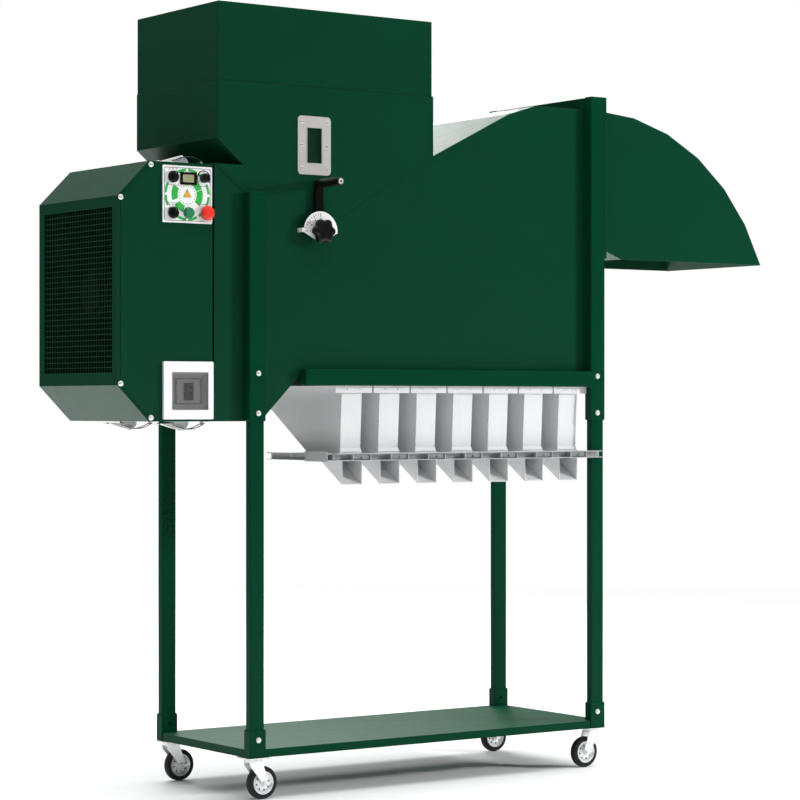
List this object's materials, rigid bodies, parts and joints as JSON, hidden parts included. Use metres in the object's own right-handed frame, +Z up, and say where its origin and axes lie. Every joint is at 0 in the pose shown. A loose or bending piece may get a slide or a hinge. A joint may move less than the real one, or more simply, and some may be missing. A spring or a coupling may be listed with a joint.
{
  "type": "aerodynamic grain separator",
  "caption": "Wheeled grain cleaner: top hopper, side fan, separating chamber over a row of funnels with slide gates, curved chaff hood, tube frame with shelf.",
  "frame": {"origin": "on the floor, in the middle of the machine's whole footprint box", "axes": "+X along the machine from the fan towards the hood, +Y towards the rear, +Z up; the side with the controls faces -Y"},
  "size_m": [2.024, 0.533, 1.918],
  "materials": {
    "green_paint": "satin powder coat",
    "grille_paint": "satin powder coat",
    "dark_paint": "satin",
    "black_paint": "satin",
    "motor_casting": "painted casting",
    "fan_alloy": "cast",
    "zinc_plate": "zinc plated",
    "galvanised": "galvanised sheet",
    "bolt_caps": "bright zinc",
    "white_plate": "anodised",
    "window_alloy": "brushed",
    "window_glass": "clear",
    "panel_face": "printed film",
    "black_plastic": "moulded",
    "white_plastic": "moulded",
    "latch_white": "white paint",
    "smoked_cover": "smoked clear plastic",
    "green_button": "gloss",
    "red_button": "gloss",
    "wheel_rubber": "solid rubber tyre on a pressed rim"
  },
  "bodies": {
    "frame": {"base_shelf": "green_paint", "legs": "green_paint", "upper_frame": "green_paint", "front_wall": "green_paint", "rear_wall": "green_paint", "chamber_roof": "green_paint", "hopper_sides": "green_paint", "hopper_extension": "green_paint", "air_duct": "green_paint", "exhaust_hood": "green_paint", "fan_casing": "green_paint", "intake_grille": "grille_paint", "fan_shroud": "dark_paint", "fan_motor": "motor_casting", "dial_plate": "white_plate", "window_frame": "window_alloy", "window_glass": "window_glass", "control_panel": "panel_face", "breaker_box": "white_plastic", "funnels": "galvanised", "gate_rails": "galvanised", "spouts": "galvanised", "dome_bolts": "bolt_caps", "caster_plates": "zinc_plate", "latch_bases": "zinc_plate"},
    "impeller": {"impeller": "fan_alloy"},
    "feed_lever": {"feed_lever": "black_paint", "feed_flap": "zinc_plate"},
    "lever_grip": {"lever_grip": "black_plastic"},
    "star_knob": {"star_knob": "black_plastic"},
    "selector_upper": {"selector_upper": "black_plastic"},
    "selector_lower": {"selector_lower": "black_plastic"},
    "speed_knob": {"speed_knob": "black_plastic"},
    "start_button": {"start_button": "green_button"},
    "stop_button": {"stop_button": "red_button"},
    "breaker_cover": {"breaker_cover": "smoked_cover"},
    "breaker_toggle": {"breaker_toggle": "black_plastic"},
    "gate_1": {"gate_1": "galvanised"},
    "gate_2": {"gate_2": "galvanised"},
    "gate_3": {"gate_3": "galvanised"},
    "gate_4": {"gate_4": "galvanised"},
    "gate_5": {"gate_5": "galvanised"},
    "gate_6": {"gate_6": "galvanised"},
    "gate_7": {"gate_7": "galvanised"},
    "caster_front_left": {"fork_front_left": "zinc_plate"},
    "wheel_front_left": {"wheel_front_left": "wheel_rubber"},
    "caster_front_right": {"fork_front_right": "zinc_plate"},
    "wheel_front_right": {"wheel_front_right": "wheel_rubber"},
    "caster_rear_left": {"fork_rear_left": "zinc_plate"},
    "wheel_rear_left": {"wheel_rear_left": "wheel_rubber"},
    "caster_rear_right": {"fork_rear_right": "zinc_plate"},
    "wheel_rear_right": {"wheel_rear_right": "wheel_rubber"},
    "latch_lever_1": {"latch_lever_1": "latch_white"},
    "latch_bail_1": {"latch_bail_1": "zinc_plate"},
    "latch_lever_2": {"latch_lever_2": "latch_white"},
    "latch_bail_2": {"latch_bail_2": "zinc_plate"},
    "latch_lever_3": {"latch_lever_3": "latch_white"},
    "latch_bail_3": {"latch_bail_3": "zinc_plate"},
    "latch_lever_4": {"latch_lever_4": "latch_white"},
    "latch_bail_4": {"latch_bail_4": "zinc_plate"}
  },
  "joints": [
    {"name": "fan_spin", "type": "hinge", "parent": "frame", "child": "impeller", "pos_m": [-0.82002, 0.039, 1.2185], "axis": [1, 0, 0], "continuous": true},
    {"name": "feed_lever_turn", "type": "hinge", "parent": "frame", "child": "feed_lever", "pos_m": [-0.45702, -0.1675, 1.375], "axis": [0, -1, 0], "range_deg": [0, 60]},
    {"name": "grip_spin", "type": "hinge", "parent": "feed_lever", "child": "lever_grip", "pos_m": [-0.45702, -0.2135, 1.492], "axis": [0, 1, 0], "continuous": true},
    {"name": "star_knob_turn", "type": "hinge", "parent": "feed_lever", "child": "star_knob", "pos_m": [-0.45702, -0.1895, 1.375], "axis": [0, -1, 0], "range_deg": [0, 270]},
    {"name": "selector_upper_turn", "type": "hinge", "parent": "frame", "child": "selector_upper", "pos_m": [-0.86401, -0.1685, 1.49], "axis": [0, -1, 0], "range_deg": [-45, 45]},
    {"name": "selector_lower_turn", "type": "hinge", "parent": "frame", "child": "selector_lower", "pos_m": [-0.86401, -0.1685, 1.405], "axis": [0, -1, 0], "range_deg": [-45, 45]},
    {"name": "speed_knob_turn", "type": "hinge", "parent": "frame", "child": "speed_knob", "pos_m": [-0.78002, -0.1685, 1.49], "axis": [0, -1, 0], "range_deg": [-150, 150]},
    {"name": "start_button_press", "type": "slide", "parent": "frame", "child": "start_button", "axis": [0, 1, 0], "range_m": [0, 0.004], "stiffness_N_per_m": 500},
    {"name": "stop_button_press", "type": "slide", "parent": "frame", "child": "stop_button", "axis": [0, 1, 0], "range_m": [0, 0.005]},
    {"name": "breaker_cover_swing", "type": "hinge", "parent": "frame", "child": "breaker_cover", "pos_m": [-0.81902, -0.162, 1.025], "axis": [-1, 0, 0], "range_deg": [0, 100]},
    {"name": "breaker_toggle_flip", "type": "hinge", "parent": "frame", "child": "breaker_toggle", "pos_m": [-0.81902, -0.149, 0.985], "axis": [1, 0, 0], "range_deg": [0, 40]},
    {"name": "gate_1_slide", "type": "slide", "parent": "frame", "child": "gate_1", "axis": [0, -1, 0], "range_m": [0, 0.118]},
    {"name": "gate_2_slide", "type": "slide", "parent": "frame", "child": "gate_2", "axis": [0, -1, 0], "range_m": [0, 0.118]},
    {"name": "gate_3_slide", "type": "slide", "parent": "frame", "child": "gate_3", "axis": [0, -1, 0], "range_m": [0, 0.118]},
    {"name": "gate_4_slide", "type": "slide", "parent": "frame", "child": "gate_4", "axis": [0, -1, 0], "range_m": [0, 0.118]},
    {"name": "gate_5_slide", "type": "slide", "parent": "frame", "child": "gate_5", "axis": [0, -1, 0], "range_m": [0, 0.118]},
    {"name": "gate_6_slide", "type": "slide", "parent": "frame", "child": "gate_6", "axis": [0, -1, 0], "range_m": [0, 0.118]},
    {"name": "gate_7_slide", "type": "slide", "parent": "frame", "child": "gate_7", "axis": [0, -1, 0], "range_m": [0, 0.118]},
    {"name": "caster_front_left_swivel", "type": "hinge", "parent": "frame", "child": "caster_front_left", "pos_m": [-0.64002, -0.1575, 0.094], "axis": [0, 0, 1], "continuous": true},
    {"name": "wheel_front_left_roll", "type": "hinge", "parent": "caster_front_left", "child": "wheel_front_left", "pos_m": [-0.61601, -0.1575, 0.04], "axis": [0, 1, 0], "continuous": true},
    {"name": "caster_front_right_swivel", "type": "hinge", "parent": "frame", "child": "caster_front_right", "pos_m": [0.40798, -0.1575, 0.094], "axis": [0, 0, 1], "continuous": true},
    {"name": "wheel_front_right_roll", "type": "hinge", "parent": "caster_front_right", "child": "wheel_front_right", "pos_m": [0.38399, -0.1575, 0.04], "axis": [0, 1, 0], "continuous": true},
    {"name": "caster_rear_left_swivel", "type": "hinge", "parent": "frame", "child": "caster_rear_left", "pos_m": [-0.64002, 0.2355, 0.094], "axis": [0, 0, 1], "continuous": true},
    {"name": "wheel_rear_left_roll", "type": "hinge", "parent": "caster_rear_left", "child": "wheel_rear_left", "pos_m": [-0.61601, 0.2355, 0.04], "axis": [0, 1, 0], "continuous": true},
    {"name": "caster_rear_right_swivel", "type": "hinge", "parent": "frame", "child": "caster_rear_right", "pos_m": [0.40798, 0.2355, 0.094], "axis": [0, 0, 1], "continuous": true},
    {"name": "wheel_rear_right_roll", "type": "hinge", "parent": "caster_rear_right", "child": "wheel_rear_right", "pos_m": [0.38399, 0.2355, 0.04], "axis": [0, 1, 0], "continuous": true},
    {"name": "latch_1_open", "type": "hinge", "parent": "frame", "child": "latch_lever_1", "pos_m": [-0.80402, -0.0915, 1.54], "axis": [0, 1, 0], "range_deg": [0, 100]},
    {"name": "bail_1_follow", "type": "hinge", "parent": "latch_lever_1", "child": "latch_bail_1", "pos_m": [-0.82901, -0.0915, 1.5345], "axis": [0, 1, 0], "range_deg": [-100, 0]},
    {"name": "latch_2_open", "type": "hinge", "parent": "frame", "child": "latch_lever_2", "pos_m": [-0.80402, 0.1585, 1.54], "axis": [0, 1, 0], "range_deg": [0, 100]},
    {"name": "bail_2_follow", "type": "hinge", "parent": "latch_lever_2", "child": "latch_bail_2", "pos_m": [-0.82901, 0.1585, 1.5345], "axis": [0, 1, 0], "range_deg": [-100, 0]},
    {"name": "latch_3_open", "type": "hinge", "parent": "frame", "child": "latch_lever_3", "pos_m": [-0.80402, -0.0915, 0.897], "axis": [0, -1, 0], "range_deg": [0, 100]},
    {"name": "bail_3_follow", "type": "hinge", "parent": "latch_lever_3", "child": "latch_bail_3", "pos_m": [-0.82901, -0.0915, 0.9025], "axis": [0, -1, 0], "range_deg": [-100, 0]},
    {"name": "latch_4_open", "type": "hinge", "parent": "frame", "child": "latch_lever_4", "pos_m": [-0.80402, 0.1585, 0.897], "axis": [0, -1, 0], "range_deg": [0, 100]},
    {"name": "bail_4_follow", "type": "hinge", "parent": "latch_lever_4", "child": "latch_bail_4", "pos_m": [-0.82901, 0.1585, 0.9025], "axis": [0, -1, 0], "range_deg": [-100, 0]}
  ],
  "couplings": [
    {"joint": "bail_1_follow", "follows": "latch_1_open", "ratio": -1},
    {"joint": "bail_2_follow", "follows": "latch_2_open", "ratio": -1},
    {"joint": "bail_3_follow", "follows": "latch_3_open", "ratio": -1},
    {"joint": "bail_4_follow", "follows": "latch_4_open", "ratio": -1}
  ]
}
